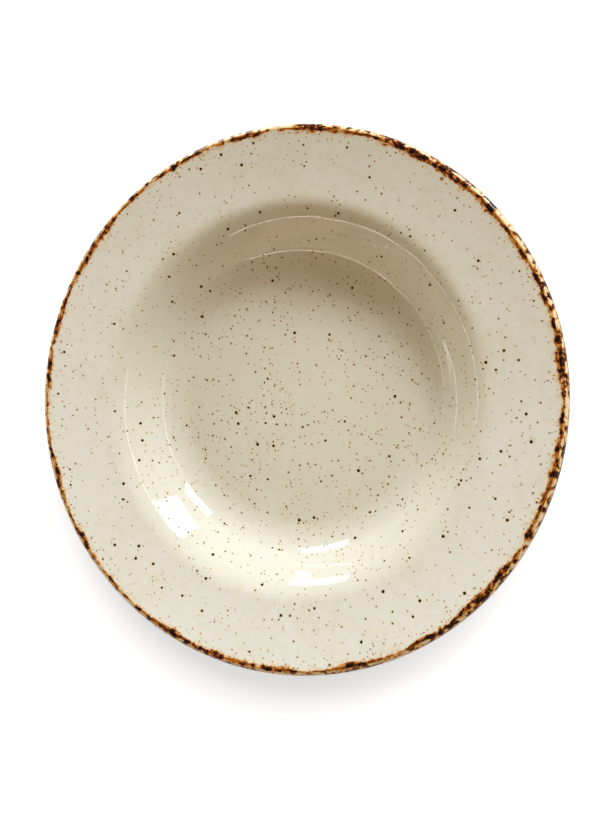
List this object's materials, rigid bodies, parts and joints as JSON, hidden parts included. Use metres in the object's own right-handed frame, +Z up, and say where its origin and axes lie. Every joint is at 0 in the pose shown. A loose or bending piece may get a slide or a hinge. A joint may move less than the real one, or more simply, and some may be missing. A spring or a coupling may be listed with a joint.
{
  "type": "stew bowl",
  "caption": "Round stoneware stew bowl with a flat-floored well, a wide gently rising rim, speckled cream glaze, a brown edge and a bare foot ring.",
  "frame": {"origin": "centre of the circle that the foot ring rests on, at table height", "axes": "+Z up along the bowl's axis of turning, out of the mouth; X and Y alike"},
  "size_m": [0.27, 0.27, 0.0415],
  "materials": {
    "bare_stoneware": "unglazed, dry and matt",
    "cream_glaze": "gloss, cream with iron specks",
    "brown_edge_glaze": "gloss, iron brown breaking to amber and cream"
  },
  "bodies": {
    "root": {"clay_body": "bare_stoneware", "face_glaze": "cream_glaze", "edge_band": "brown_edge_glaze", "back_glaze": "cream_glaze", "recess_glaze": "cream_glaze"}
  },
  "joints": []
}
